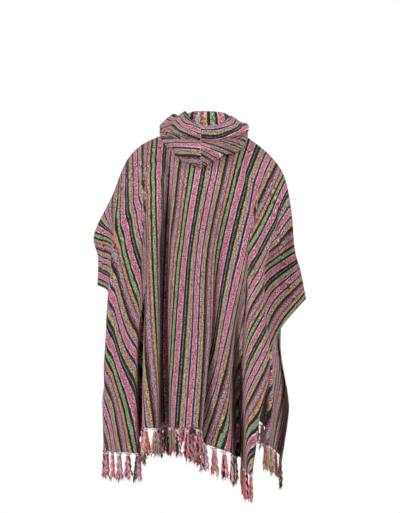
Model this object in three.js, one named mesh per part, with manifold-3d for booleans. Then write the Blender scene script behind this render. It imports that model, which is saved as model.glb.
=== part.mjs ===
// Hooded poncho, striped brushed cotton, in the hollow shape that it takes on a wearer.
// Millimetres, +Z up. The origin is the middle of the neck at shoulder level, the front faces -Y
// and the wearer's left is +X. Each piece of cloth is a wall of one thickness, cut from a
// rectangle whose stripes run from the front hem over the shoulders to the back hem.

import * as THREE from 'three';
import { mergeVertices } from 'three/addons/utils/BufferGeometryUtils.js';
import Module from 'manifold-3d';

const wasm = await Module();
wasm.setup();

// ---------------------------------------------------------------- driving dimensions

const CLOTH_THICKNESS = 2.4;
const CLOTH_LEFT = -575;       // left and right edges of the cloth, from the middle of the back
const CLOTH_RIGHT = 535;
const SEAM_GAP = 0.3;
const NECK_RADIUS = 68;
const NECK_HEIGHT = 5;
const NECK_EDGE = 66;           // half of the cloth that the neckline takes
const NAPE_DROP = 4;
const THROAT_DROP = 16;
const BACK_TURN_DEG = 15;      // the back's sections are measured in a frame turned so far
const FRONT_TURN_DEG = 0;

const VALLEY_FLOOR = 14;        // width of the rounded bottom of a valley between two folds
const FLOOR_DEPTH = 60;         // depth at which that bottom has its whole width
const BULGE_SHARE = 0.85;       // share of the spare cloth that goes into a bulge's height
const NECK_SHARE = 0.15;        // share of the way down on which the neckline's roundness fades
const PANEL_COLUMNS = 60;       // the grids that the walls are made on
const BACK_ROWS = 16;
const FRONT_ROWS = 12;
const HOOD_SLICES = 12;
const HOOD_STEPS = 18;

const HOOD_SEAM_RADIUS = NECK_RADIUS - 4;   // the hood is sewn in just inside the neckline
const HOOD_FRONT_DEG = 10;      // where the hood starts, round the neck from the throat
const HOOD_TURN_DEG = 10;       // it hangs turned a little to the wearer's right

const STRIP_HEIGHT = 5;        // hem strip that the fringe is fused into
const TASSEL_PITCH = 30;
const TASSEL_HEAD_LENGTH = 15;
const TASSEL_HEAD_RADIUS = 5.2;
const TASSEL_LENGTH = 86;
const LOCK_RADIUS = 2.4;
const LOCK_SEAT = 2.5;         // from the middle of the tassel to the root of a lock
const LOCK_SPREAD = 8;
const SIMPLIFY_TOLERANCE = 0.12;

// ---------------------------------------------------------------- tables

// The line over the shoulders and down the outside of both arms, where back and front meet.
// cloth: place across the cloth. across: to the wearer's right. out: to the back. In the frame
// of the back's sections.
const SHOULDER_LINE = [
  { cloth: -575, across: -333, out: -100, height: -474 },
  { cloth: -500, across: -330, out: -96, height: -392 },
  { cloth: -425, across: -342, out: -90, height: -318 },
  { cloth: -335, across: -286, out: -80, height: -200 },
  { cloth: -262, across: -243, out: -66, height: -98 },
  { cloth: -200, across: -198, out: -50, height: -50 },
  { cloth: -134, across: -134, out: -36, height: -20 },
  { cloth: -66, across: -64, out: -17, height: NECK_HEIGHT },
  { cloth: 66, across: 66, out: 17, height: NECK_HEIGHT },
  { cloth: 119, across: 122, out: 28, height: -32 },
  { cloth: 190, across: 190, out: 38, height: -88 },
  { cloth: 255, across: 232, out: 40, height: -152 },
  { cloth: 320, across: 252, out: 42, height: -255 },
  { cloth: 391, across: 262, out: 42, height: -366 },
  { cloth: 460, across: 280, out: 35, height: -430 },
  { cloth: 535, across: 297, out: 20, height: -512 },
];

// Shares of the way from the shoulder line to the hem at which the sections are given.
const STATIONS = [0, 0.2, 0.45, 0.72, 1];

// One row for each edge of a fold. Its four sections lie at the stations below the shoulder line:
// [cloth, across, out, height]. next says how the cloth runs on to the next row: 0 straight,
// 1 bulging out, -1 in a valley, with its lean in degrees to the wearer's left.
const BACK_FOLDS = [
  { name: 'left edge', yoke: [-575, -292, -22, -500], waist: [-575, -296, -112, -645],
    hip: [-575, -295, -57, -806], hem: [-575, -299, -6, -962], next: 0, lean: 0 },
  { name: 'left tuck', yoke: [-415, -270, -15, -352], waist: [-500, -272, -44, -600],
    hip: [-540, -288, -25, -790], hem: [-564, -303, 4, -963], next: 0, lean: 0 },
  { name: 'left ridge', yoke: [-330, -275, 60, -327], waist: [-417, -296, 32, -592],
    hip: [-487, -306, 24, -790], hem: [-550, -306, 20, -963], next: 1, lean: 0 },
  { name: 'left fold', yoke: [-270, -238, 94, -276], waist: [-345, -240, 84, -567],
    hip: [-430, -252, 74, -785], hem: [-490, -268, 72, -960], next: 1, lean: 0 },
  { name: 'left fold edge', yoke: [-215, -190, 116, -250], waist: [-290, -194, 112, -512],
    hip: [-378, -202, 104, -748], hem: [-413, -198, 100, -955], next: -1, lean: 0 },
  { name: 'second fold', yoke: [-175, -172, 126, -165], waist: [-180, -166, 134, -390],
    hip: [-205, -180, 138, -640], hem: [-230, -184, 130, -882], next: 1, lean: 0 },
  { name: 'second fold edge', yoke: [-130, -131, 133, -146], waist: [-138, -136, 144, -377],
    hip: [-155, -139, 150, -636], hem: [-180, -139, 144, -878], next: -1, lean: 0 },
  { name: 'middle fold', yoke: [-60, -81, 138, -142], waist: [-50, -99, 150, -376],
    hip: [-25, -101, 158, -632], hem: [-7, -100, 158, -874], next: 1, lean: 0 },
  { name: 'middle fold edge', yoke: [95, 67, 136, -142], waist: [105, 24, 152, -377],
    hip: [97, 9, 160, -634], hem: [95, -13, 160, -876], next: -1, lean: 42 },
  { name: 'lapped fold', yoke: [130, 99, 128, -146], waist: [135, 47, 148, -385],
    hip: [145, 15, 140, -648], hem: [215, -6, 136, -924], next: 1, lean: 0 },
  { name: 'lapped fold edge', yoke: [190, 158, 98, -165], waist: [203, 109, 134, -420],
    hip: [232, 73, 142, -665], hem: [290, 70, 138, -952], next: -1, lean: 0 },
  { name: 'right fold', yoke: [245, 137, 120, -290], waist: [391, 119, 152, -650],
    hip: [466, 114, 160, -852], hem: [500, 118, 158, -1005], next: 0, lean: 0 },
  { name: 'right ridge', yoke: [290, 168, 116, -415], waist: [474, 179, 138, -692],
    hip: [522, 172, 152, -862], hem: [525, 141, 156, -1006], next: 0, lean: 0 },
  { name: 'right tuck', yoke: [385, 168, 34, -436], waist: [506, 178, 106, -712],
    hip: [529, 175, 148, -864], hem: [530, 144, 154, -1006], next: 0, lean: 0 },
  { name: 'right edge', yoke: [535, 221, 43, -600], waist: [535, 170, 78, -714],
    hip: [535, 178, 144, -866], hem: [535, 147, 151, -1006], next: 0, lean: 0 },
];

// The front's rows read in the same way, in the frame of the garment: out is still to the back.
const FRONT_FOLDS = [
  { name: 'left edge', yoke: [-575, -300, -170, -500], waist: [-575, -272, -262, -630],
    hip: [-575, -254, -292, -800], hem: [-575, -240, -272, -965], next: 1, lean: 0 },
  { name: 'first fold edge', yoke: [-440, -282, -165, -370], waist: [-440, -225, -262, -560],
    hip: [-440, -196, -296, -760], hem: [-440, -176, -290, -925], next: -1, lean: 0 },
  { name: 'second fold', yoke: [-300, -232, -172, -270], waist: [-300, -190, -240, -520],
    hip: [-300, -160, -275, -735], hem: [-300, -146, -285, -905], next: 1, lean: 0 },
  { name: 'second fold edge', yoke: [-210, -165, -172, -200], waist: [-210, -125, -225, -475],
    hip: [-210, -98, -268, -700], hem: [-210, -72, -282, -880], next: -1, lean: 0 },
  { name: 'middle fold', yoke: [-80, -78, -150, -150], waist: [-80, -68, -205, -420],
    hip: [-80, -58, -255, -665], hem: [-80, -42, -275, -865], next: 1, lean: 0 },
  { name: 'middle fold edge', yoke: [60, 62, -150, -150], waist: [60, 52, -208, -420],
    hip: [60, 48, -258, -665], hem: [60, 60, -272, -862], next: -1, lean: 0 },
  { name: 'fourth fold', yoke: [200, 160, -165, -205], waist: [200, 92, -222, -480],
    hip: [200, 80, -265, -705], hem: [200, 84, -275, -895], next: 1, lean: 0 },
  { name: 'fourth fold edge', yoke: [300, 212, -160, -290], waist: [300, 150, -240, -540],
    hip: [300, 140, -285, -760], hem: [300, 130, -285, -955], next: -1, lean: 0 },
  { name: 'right fold', yoke: [430, 218, -170, -405], waist: [430, 160, -268, -590],
    hip: [430, 158, -296, -800], hem: [430, 146, -290, -1000], next: 1, lean: 0 },
  { name: 'right edge', yoke: [535, 197, -229, -540], waist: [535, 167, -304, -690],
    hip: [535, 192, -310, -861], hem: [535, 172, -284, -1050], next: 0, lean: 0 },
];

// ---------------------------------------------------------------- curves

const radians = THREE.MathUtils.degToRad;
const mix = THREE.MathUtils.lerp;
const smooth = (share) => THREE.MathUtils.smoothstep(share, 0, 1);

// The smooth curve through [place, value] pairs, with Catmull-Rom slopes at uneven places.
function curveThrough(places, values, place) {
  const last = places.length - 1;
  let span = 0;
  while (span < last - 1 && place > places[span + 1]) span += 1;
  const slope = (index) => {
    const before = Math.max(index - 1, 0);
    const after = Math.min(index + 1, last);
    return (values[after] - values[before]) / (places[after] - places[before]);
  };
  const width = places[span + 1] - places[span];
  const t = (place - places[span]) / width;
  const t2 = t * t;
  const t3 = t2 * t;
  return (2 * t3 - 3 * t2 + 1) * values[span] + (t3 - 2 * t2 + t) * width * slope(span)
    + (3 * t2 - 2 * t3) * values[span + 1] + (t3 - t2) * width * slope(span + 1);
}

// The shoulder line at a place across the cloth: [cloth, across, out, height] in the back's frame.
function shoulderPoint(cloth) {
  const places = SHOULDER_LINE.map((row) => row.cloth);
  const at = (key) => curveThrough(places, SHOULDER_LINE.map((row) => row[key]), cloth);
  return [cloth, at('across'), at('out'), at('height')];
}

// From a section's frame, turned about the neck, to the garment's frame, and back.
function toGarment(turnDeg, across, out, height) {
  const turn = radians(turnDeg);
  const x = -across * Math.cos(turn) - out * Math.sin(turn);
  const y = -across * Math.sin(turn) + out * Math.cos(turn);
  return new THREE.Vector3(x, y, height);
}

function toSection(turnDeg, point) {
  const turn = radians(turnDeg);
  const across = -point.x * Math.cos(turn) - point.y * Math.sin(turn);
  const out = -point.x * Math.sin(turn) + point.y * Math.cos(turn);
  return [across, out, point.z];
}

// The neckline drops to the nape, and more to the throat. round is 0 at the sides and 1 there.
function necklineHeight(facing, round) {
  return NECK_HEIGHT - (facing > 0 ? NAPE_DROP : THROAT_DROP) * round;
}

// Where a line of the cloth starts: on the shoulder line, or on the neckline between its ends.
function startPoint(cloth, facing, turnDeg) {
  let point;
  if (Math.abs(cloth) < NECK_EDGE) {
    const corner = toGarment(BACK_TURN_DEG, ...shoulderPoint(NECK_EDGE).slice(1));
    const half = -corner.x;
    const x = -half * Math.sin(0.5 * Math.PI * cloth / NECK_EDGE);
    const round = Math.sqrt(Math.max(0, 1 - (x / half) ** 2));
    const height = necklineHeight(facing, round);
    point = new THREE.Vector3(x, facing * NECK_RADIUS * round, height);
  } else {
    point = toGarment(BACK_TURN_DEG, ...shoulderPoint(cloth).slice(1));
  }
  return [cloth, ...toSection(turnDeg, point)];
}

// How far a line of the cloth between two folds starts from the straight line between their
// starts, because the neckline is round.
function startBow(fold, after, place, facing, turnDeg) {
  const [start, left, right] = [mix(fold.yoke[0], after.yoke[0], place), fold.yoke[0],
    after.yoke[0]].map((cloth) => startPoint(cloth, facing, turnDeg));
  return [1, 2, 3].map((axis) => start[axis] - mix(left[axis], right[axis], place));
}

// ---------------------------------------------------------------- sheets of cloth

// The edges of the folds at one share of the way down, with the bottoms of the valleys and the
// tops of the bulges worked out from the length of cloth between two edges.
function sectionKnots(folds, facing, turnDeg, share) {
  const edges = folds.map((fold) => {
    const start = startPoint(fold.yoke[0], facing, turnDeg);
    const stations = [start, fold.yoke, fold.waist, fold.hip, fold.hem];
    return [0, 1, 2, 3].map((axis) =>
      curveThrough(STATIONS, stations.map((station) => station[axis]), share));
  });
  const knots = [];
  folds.forEach((fold, index) => {
    knots.push(edges[index]);
    if (fold.next === 0 || index === folds.length - 1) return;
    const [cloth, across, out, height] = edges[index];
    const [cloth2, across2, out2, height2] = edges[index + 1];
    const floor = fold.next < 0 ? VALLEY_FLOOR / 2 : 0;
    const run = Math.max(0, (cloth2 - cloth) / 2 - floor);
    const chord = Math.hypot(across2 - across, out2 - out, height2 - height) / 2 - floor;
    const taken = fold.next > 0 ? BULGE_SHARE : 1;
    const depth = taken * Math.sqrt(Math.max(0, run * run - chord * chord));
    const grown = depth * smooth(share / STATIONS[1]);
    const lean = radians(fold.lean) * smooth((share - 0.3) / 0.5);
    const spread = floor * smooth(grown / FLOOR_DEPTH);
    for (const side of floor > 0 ? [-1, 1] : [0]) {
      const place = 0.5 + side * floor / (cloth2 - cloth);
      const bow = startBow(fold, folds[index + 1], place, facing, turnDeg)
        .map((length) => length * (1 - smooth(share / NECK_SHARE)));
      knots.push([
        mix(cloth, cloth2, place),
        mix(across, across2, place) + bow[0] - grown * Math.sin(lean)
          + side * spread * Math.cos(lean),
        mix(out, out2, place) + bow[1] + facing * fold.next * (grown * Math.cos(lean)
          + side * spread * Math.sin(lean)),
        mix(height, height2, place) + bow[2],
      ]);
    }
  });
  return knots;
}

// Columns are shared out evenly over the length of cloth that lies between the knots.
function columnPlaces(folds, facing, turnDeg) {
  const hem = sectionKnots(folds, facing, turnDeg, 1);
  const middle = sectionKnots(folds, facing, turnDeg, STATIONS[2]);
  const lengths = [0];
  hem.slice(1).forEach((knot, index) => lengths.push(lengths[index]
    + Math.max(knot[0] - hem[index][0], middle[index + 1][0] - middle[index][0])));
  const total = lengths[lengths.length - 1];
  const places = [];
  for (let column = 0; column < PANEL_COLUMNS; column += 1) {
    const target = total * column / (PANEL_COLUMNS - 1);
    let span = 0;
    while (span < lengths.length - 2 && target > lengths[span + 1]) span += 1;
    places.push(span + (target - lengths[span]) / (lengths[span + 1] - lengths[span]));
  }
  return places;
}

// A panel's middle surface as rows of points. share 0 is the shoulder line and 1 the hem.
function panelRow(folds, facing, turnDeg, columns, share) {
  const knots = sectionKnots(folds, facing, turnDeg, share);
  const places = knots.map((knot, index) => index);
  return columns.map((column, index) => {
    if (share === 0) {
      const cloth = mix(CLOTH_LEFT, CLOTH_RIGHT, index / (columns.length - 1));
      return toGarment(turnDeg, ...startPoint(cloth, facing, turnDeg).slice(1));
    }
    const at = (axis) => curveThrough(places, knots.map((knot) => knot[axis]), column);
    return toGarment(turnDeg, at(1), at(2), at(3));
  });
}

function rowNormals(rows, facing) {
  return rows.map((row, j) => row.map((point, i) => {
    const down = rows[Math.min(j + 1, rows.length - 1)][i].clone()
      .sub(rows[Math.max(j - 1, 0)][i]);
    const side = row[Math.min(i + 1, row.length - 1)].clone().sub(row[Math.max(i - 1, 0)]);
    return side.cross(down).normalize().multiplyScalar(-facing);
  }));
}

// A closed wall round a sheet of points: both faces, moved half the thickness out along the
// normals, and the four edges.
function wallGeometry(rows, normals, thickness) {
  const height = rows.length;
  const width = rows[0].length;
  const positions = [];
  for (const side of [0.5, -0.5]) {
    rows.forEach((row, j) => row.forEach((point, i) => {
      const moved = point.clone().addScaledVector(normals[j][i], side * thickness);
      positions.push(moved.x, moved.y, moved.z);
    }));
  }
  const faces = [];
  const quad = (a, b, c, d) => faces.push(a, b, c, a, c, d);
  const at = (j, i, under) => (under ? height * width : 0) + j * width + i;
  for (let j = 0; j < height - 1; j += 1) {
    for (let i = 0; i < width - 1; i += 1) {
      quad(at(j, i), at(j, i + 1), at(j + 1, i + 1), at(j + 1, i));
      quad(at(j, i, 1), at(j + 1, i, 1), at(j + 1, i + 1, 1), at(j, i + 1, 1));
    }
  }
  for (let i = 0; i < width - 1; i += 1) {
    quad(at(0, i + 1), at(0, i), at(0, i, 1), at(0, i + 1, 1));
    const last = height - 1;
    quad(at(last, i), at(last, i + 1), at(last, i + 1, 1), at(last, i, 1));
  }
  for (let j = 0; j < height - 1; j += 1) {
    quad(at(j, 0), at(j + 1, 0), at(j + 1, 0, 1), at(j, 0, 1));
    const last = width - 1;
    quad(at(j + 1, last), at(j, last), at(j, last, 1), at(j + 1, last, 1));
  }
  return closedGeometry(positions, faces);
}

// A geometry with its faces pointing out, whichever way its points ran.
function closedGeometry(positions, faces) {
  let volume = 0;
  const corner = (index) => new THREE.Vector3().fromArray(positions, 3 * index);
  for (let f = 0; f < faces.length; f += 3) {
    volume += corner(faces[f]).dot(corner(faces[f + 1]).cross(corner(faces[f + 2])));
  }
  const turned = volume > 0 ? faces
    : faces.map((_, k) => faces[3 * Math.floor(k / 3) + [0, 2, 1][k % 3]]);
  const geometry = new THREE.BufferGeometry();
  geometry.setAttribute('position', new THREE.Float32BufferAttribute(positions, 3));
  geometry.setIndex(turned);
  return geometry;
}

function panel(folds, facing, turnDeg, rowCount) {
  const columns = columnPlaces(folds, facing, turnDeg);
  const shares = Array.from({ length: rowCount + 1 }, (_, index) => index / rowCount);
  const rows = shares.map((share) => panelRow(folds, facing, turnDeg, columns, share));
  const normals = rowNormals(rows, facing);
  // Both panels stand upright on the shoulder line, so that their edges face each other.
  normals[0] = rows[0].map((point, i) => {
    const side = rows[0][Math.min(i + 1, columns.length - 1)].clone()
      .sub(rows[0][Math.max(i - 1, 0)]);
    return new THREE.Vector3(0, 1, 0).cross(side).normalize();
  });
  rows[0].forEach((point) => { point.y += facing * SEAM_GAP / 2; });
  return { rows, normals, hem: rows[rows.length - 1], hemNormals: normals[rows.length - 1] };
}

// ---------------------------------------------------------------- hood

// The hood's profiles as it lies when it is down, at degrees round the neck from the throat to the
// nape: the crest of the inner layer, the outer side, the bottom of the pouch, the crease in the
// outer layer and the edge of the face opening. The right half lies lower over the shoulder.
const HOOD_SECTIONS = {
  left: [
    { at: 10, crestRadius: 84, crest: 26, outer: 120,
      bottom: -8, crease: 8, edgeRadius: 92, edge: 20 },
    { at: 45, crestRadius: 86, crest: 31, outer: 126,
      bottom: -12, crease: 4, edgeRadius: 96, edge: 28 },
    { at: 75, crestRadius: 88, crest: 30, outer: 125,
      bottom: -2, crease: 11, edgeRadius: 99, edge: 36 },
    { at: 100, crestRadius: 86, crest: 28, outer: 128,
      bottom: -4, crease: 10, edgeRadius: 100, edge: 39 },
    { at: 113, crestRadius: 84, crest: 26, outer: 141,
      bottom: -24, crease: -4, edgeRadius: 100, edge: 37 },
    { at: 126, crestRadius: 82, crest: 24, outer: 150,
      bottom: -54, crease: -24, edgeRadius: 97, edge: 29 },
    { at: 140, crestRadius: 80, crest: 32, outer: 153,
      bottom: -80, crease: -36, edgeRadius: 92, edge: 40 },
    { at: 160, crestRadius: 79, crest: 39, outer: 170,
      bottom: -110, crease: -47, edgeRadius: 120, edge: 14 },
    { at: 180, crestRadius: 78, crest: 39, outer: 188,
      bottom: -130, crease: -54, edgeRadius: 150, edge: -13 },
  ],
  right: [
    { at: 10, crestRadius: 84, crest: 22, outer: 120,
      bottom: -10, crease: 6, edgeRadius: 92, edge: 16 },
    { at: 50, crestRadius: 84, crest: 22, outer: 125,
      bottom: -18, crease: 0, edgeRadius: 94, edge: 14 },
    { at: 80, crestRadius: 82, crest: 20, outer: 127,
      bottom: -16, crease: -3, edgeRadius: 94, edge: 12 },
    { at: 100, crestRadius: 80, crest: 24, outer: 130,
      bottom: -18, crease: -3, edgeRadius: 94, edge: 18 },
    { at: 118, crestRadius: 78, crest: 30, outer: 146,
      bottom: -60, crease: -28, edgeRadius: 95, edge: 28 },
    { at: 134, crestRadius: 78, crest: 36, outer: 154,
      bottom: -84, crease: -42, edgeRadius: 108, edge: 14 },
    { at: 150, crestRadius: 78, crest: 38, outer: 162,
      bottom: -90, crease: -45, edgeRadius: 124, edge: 2 },
    { at: 166, crestRadius: 78, crest: 39, outer: 174,
      bottom: -110, crease: -54, edgeRadius: 142, edge: -9 },
    { at: 180, crestRadius: 78, crest: 39, outer: 188,
      bottom: -130, crease: -54, edgeRadius: 150, edge: -13 },
  ],
};

// Each profile runs up from the neck seam, over the crest, down inside the pouch, round its bottom,
// up the outer layer with its crease, and on to the face edge.
const HOOD_PROFILE = [
  // width: share of the way from the crest out to the outer side
  // rise: share of the crest's height over the bottom, counted from the bottom or the crease
  { width: 0.00, rise: 1.00, from: 'bottom' },
  { width: 0.20, rise: 0.93, from: 'bottom' },
  { width: 0.34, rise: 0.60, from: 'bottom' },
  { width: 0.50, rise: 0.22, from: 'bottom' },
  { width: 0.66, rise: 0.02, from: 'bottom' },
  { width: 0.84, rise: 0.02, from: 'bottom' },
  { width: 0.97, rise: 0.20, from: 'bottom' },
  { width: 1.00, rise: -0.14, from: 'crease' },
  { width: 0.91, rise: -0.01, from: 'crease' },
  { width: 0.99, rise: 0.09, from: 'crease' },
  { width: 0.93, rise: 0.22, from: 'crease' },
];
const HOOD_STAND_OFF = 4;       // the inner layer leans out by this much on its way up
const HOOD_STAND_SHARE = 0.55;

function hoodPoint(side, degrees, share) {
  const table = side > 0 ? HOOD_SECTIONS.left : HOOD_SECTIONS.right;
  const angles = table.map((row) => row.at);
  const at = (key) => curveThrough(angles, table.map((row) => row[key]), degrees);
  const turned = radians(degrees + side * HOOD_TURN_DEG * smooth(degrees / 180));
  const crest = at('crest');
  const base = { bottom: at('bottom'), crease: at('crease') };
  const height = crest - base.bottom;
  const seam = necklineHeight(-Math.cos(turned), Math.abs(Math.cos(turned))) - 1;
  const profile = [
    [HOOD_SEAM_RADIUS, seam],
    [HOOD_SEAM_RADIUS + HOOD_STAND_OFF, mix(seam, crest, HOOD_STAND_SHARE)],
    ...HOOD_PROFILE.map(({ width, rise, from }) =>
      [mix(at('crestRadius'), at('outer'), width), base[from] + rise * height]),
    [at('edgeRadius'), at('edge')],
  ];
  const places = profile.map((point, index) => index / (profile.length - 1));
  const radius = curveThrough(places, profile.map((point) => point[0]), share);
  const z = curveThrough(places, profile.map((point) => point[1]), share);
  return new THREE.Vector3(side * radius * Math.sin(turned), -radius * Math.cos(turned), z);
}

// Half of the hood. Its last profile, at the nape, stands back from the seam between the halves.
function hoodHalf(side) {
  const rows = [];
  for (let j = 0; j <= HOOD_SLICES; j += 1) {
    const degrees = mix(HOOD_FRONT_DEG, 180, j / HOOD_SLICES);
    const row = [];
    for (let i = 0; i <= HOOD_STEPS; i += 1) row.push(hoodPoint(side, degrees, i / HOOD_STEPS));
    rows.push(row);
  }
  const normals = rowNormals(rows, side);
  const turn = radians(HOOD_TURN_DEG);
  const along = new THREE.Vector3(Math.cos(turn), Math.sin(turn), 0);
  const seam = rows.length - 1;
  rows[seam].forEach((point) => point.addScaledVector(along, side * SEAM_GAP / 2));
  normals[seam].forEach((normal) => normal.addScaledVector(along, -normal.dot(along)).normalize());
  return wallGeometry(rows, normals, CLOTH_THICKNESS);
}

// ---------------------------------------------------------------- fringe

function toManifold(geometry) {
  const clean = geometry.clone();
  clean.deleteAttribute('normal');
  clean.deleteAttribute('uv');
  const merged = mergeVertices(clean, 1e-4);
  return new wasm.Manifold(new wasm.Mesh({
    numProp: 3,
    vertProperties: Float32Array.from(merged.attributes.position.array),
    triVerts: Uint32Array.from(merged.index.array),
  }));
}

function fromManifold(solid) {
  const mesh = solid.getMesh();
  const geometry = new THREE.BufferGeometry();
  geometry.setAttribute('position', new THREE.Float32BufferAttribute(mesh.vertProperties, 3));
  geometry.setIndex(Array.from(mesh.triVerts));
  return geometry;
}

// A straight tapered bar from one point to another, as a solid with plain ends.
function bar(start, end, startRadius, endRadius, sides, turn) {
  const positions = [];
  [[start, startRadius], [end, endRadius]].forEach(([centre, radius]) => {
    for (let side = 0; side < sides; side += 1) {
      const angle = turn + 2 * Math.PI * side / sides;
      positions.push(centre.x + radius * Math.cos(angle), centre.y + radius * Math.sin(angle),
        centre.z);
    }
  });
  const faces = [];
  for (let side = 0; side < sides; side += 1) {
    const next = (side + 1) % sides;
    faces.push(side, next, sides + next, side, sides + next, sides + side);
  }
  for (let side = 1; side < sides - 1; side += 1) {
    faces.push(0, side + 1, side, sides, sides + side, sides + side + 1);
  }
  return toManifold(closedGeometry(positions, faces));
}

// Places at an even pitch along a row, starting half a pitch in: the point and the row's direction.
function evenPlaces(row, pitch) {
  const lengths = [0];
  row.slice(1).forEach((point, i) => lengths.push(lengths[i] + point.distanceTo(row[i])));
  const total = lengths[lengths.length - 1];
  const count = Math.floor(total / pitch);
  const places = [];
  for (let n = 0; n < count; n += 1) {
    const target = ((n + 0.5) / count) * total;
    const i = lengths.findIndex((length) => length >= target);
    const share = (target - lengths[i - 1]) / (lengths[i] - lengths[i - 1]);
    const along = row[i].clone().sub(row[i - 1]).setZ(0).normalize();
    places.push({ point: row[i - 1].clone().lerp(row[i], share), along });
  }
  return places;
}

// A tassel: a head that widens down from the strip, and three locks that fan out along the hem.
function tassel({ point, along }, index) {
  const across = new THREE.Vector3(-along.y, along.x, 0);
  const below = (depth, sideways, forward) => point.clone().addScaledVector(along, sideways)
    .addScaledVector(across, forward).setZ(point.z - depth);
  const turn = Math.atan2(along.y, along.x);
  const solids = [bar(below(0.5 * STRIP_HEIGHT, 0, 0), below(TASSEL_HEAD_LENGTH, 0, 0),
    0.45 * CLOTH_THICKNESS, TASSEL_HEAD_RADIUS, 4, turn)];
  for (const lock of [-1, 0, 1]) {
    const length = TASSEL_LENGTH * (1 - 0.08 * ((index + 2 * lock + 3) % 3));
    const forward = lock === 0 ? 1.6 : -0.4;
    solids.push(bar(below(TASSEL_HEAD_LENGTH - 4, lock * LOCK_SEAT, forward),
      below(length, lock * LOCK_SPREAD, 2 * forward), 0.6 * LOCK_RADIUS, LOCK_RADIUS, 3,
      turn + lock));
  }
  return solids;
}

// The fringe of one hem. What would touch a wall of the folded cloth is cut off clear of it.
function fringe(sheet) {
  const lowered = (drop) => sheet.hem.map((point) => point.clone().setZ(point.z - drop));
  const rows = [lowered(SEAM_GAP), lowered(SEAM_GAP + STRIP_HEIGHT)];
  const normals = rows.map(() => sheet.hemNormals);
  const strip = toManifold(wallGeometry(rows, normals, CLOTH_THICKNESS));
  const tassels = evenPlaces(rows[0], TASSEL_PITCH).flatMap(tassel);
  const cloth = toManifold(wallGeometry(sheet.rows, sheet.normals,
    CLOTH_THICKNESS + 2 * SEAM_GAP));
  const pieces = wasm.Manifold.union([strip, ...tassels]).subtract(cloth).decompose();
  const whole = pieces.reduce((best, piece) => (piece.volume() > best.volume() ? piece : best));
  return fromManifold(whole.simplify(SIMPLIFY_TOLERANCE));
}

// ---------------------------------------------------------------- the poncho

const CLOTH = new THREE.MeshStandardMaterial({ color: 0x8a5a6a, roughness: 0.95, metalness: 0 });
const YARN = new THREE.MeshStandardMaterial({ color: 0x9a7f86, roughness: 0.95, metalness: 0 });

const back = panel(BACK_FOLDS, 1, BACK_TURN_DEG, BACK_ROWS);
const front = panel(FRONT_FOLDS, -1, FRONT_TURN_DEG, FRONT_ROWS);

const poncho = new THREE.Group();
const add = (name, geometry, material) => {
  const mesh = new THREE.Mesh(geometry, material.clone());
  mesh.name = name;
  poncho.add(mesh);
};

add('back_panel', wallGeometry(back.rows, back.normals, CLOTH_THICKNESS), CLOTH);
add('front_panel', wallGeometry(front.rows, front.normals, CLOTH_THICKNESS), CLOTH);
add('hood_left', hoodHalf(1), CLOTH);
add('hood_right', hoodHalf(-1), CLOTH);
add('back_fringe', fringe(back), YARN);
add('front_fringe', fringe(front), YARN);

export default poncho;
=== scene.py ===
"""Hooded poncho of striped brushed cotton: the looks, built round the packed cloth walls.

The cloth is drawn again on the shape of its walls with a finer grid, the creases between the
large folds, the woven stripes, the knotted fringe and the stitching. Tables and functions work in
millimetres, and meshes are made in metres.
"""

import math
import random

import bpy
import numpy as np
from bpy.props import FloatProperty, FloatVectorProperty, PointerProperty
from bpy.types import Operator, Panel, PropertyGroup
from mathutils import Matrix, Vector


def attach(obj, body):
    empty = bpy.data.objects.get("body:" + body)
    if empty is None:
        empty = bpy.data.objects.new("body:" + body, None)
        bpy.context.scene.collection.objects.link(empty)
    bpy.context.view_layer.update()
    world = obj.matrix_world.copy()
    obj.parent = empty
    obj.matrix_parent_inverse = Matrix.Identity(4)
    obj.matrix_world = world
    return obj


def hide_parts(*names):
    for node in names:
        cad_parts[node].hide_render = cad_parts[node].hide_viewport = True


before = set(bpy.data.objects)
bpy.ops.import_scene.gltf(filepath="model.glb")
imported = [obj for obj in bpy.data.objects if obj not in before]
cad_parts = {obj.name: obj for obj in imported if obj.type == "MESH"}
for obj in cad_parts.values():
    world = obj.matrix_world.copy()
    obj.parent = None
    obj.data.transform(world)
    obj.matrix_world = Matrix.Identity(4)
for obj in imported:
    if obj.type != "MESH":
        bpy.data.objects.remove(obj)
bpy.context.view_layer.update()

bl_info = {
    "name": "Hooded poncho",
    "version": (1, 0, 0),
    "blender": (4, 5, 0),
    "location": "3D View > Sidebar > Poncho",
    "description": "Striped brushed-cotton poncho with a hood and knotted fringes",
    "category": "Object",
}

MM = 0.001

# ---------------------------------------------------------------- the cut and the folds

CLOTH_THICKNESS = 2.4
CLOTH_LEFT, CLOTH_RIGHT = -575.0, 535.0   # edges of the cloth, from the middle of the back
CLOTH_LENGTH = 945.0                      # from the shoulder line to either hem
SEAM_GAP = 0.3
NECK_RADIUS = 68.0
NECK_HEIGHT = 5.0
NECK_EDGE = 66.0                          # ends of the neckline, on the cloth
NAPE_DROP, THROAT_DROP = 4.0, 16.0
BACK_TURN, FRONT_TURN = 15.0, 0.0         # degrees about the neck
VALLEY_FLOOR, FLOOR_DEPTH = 14.0, 60.0    # width of a valley's floor, full from this depth on
BULGE = 0.85                              # a bulge takes up less of the spare cloth than a valley

# Shares of the way down from the shoulder line to the hem.
YOKE, WAIST, HIP, HEM = 0.2, 0.45, 0.72, 1.0
ROUND_UNTIL = 0.15                        # the neckline's roundness fades out on this share,
START_UNTIL = 1 / 8                       # the shape of the shoulder line on this one,
EVEN_UNTIL = 1 / 12                       # and the columns' even spacing on this one
LEAN_START, LEAN_RUN = 0.3, 0.5           # where a leaning fold starts to lean, and over how much
CURVE_STEPS = 40                          # for each knot of a row, to look up places on the cloth

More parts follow.
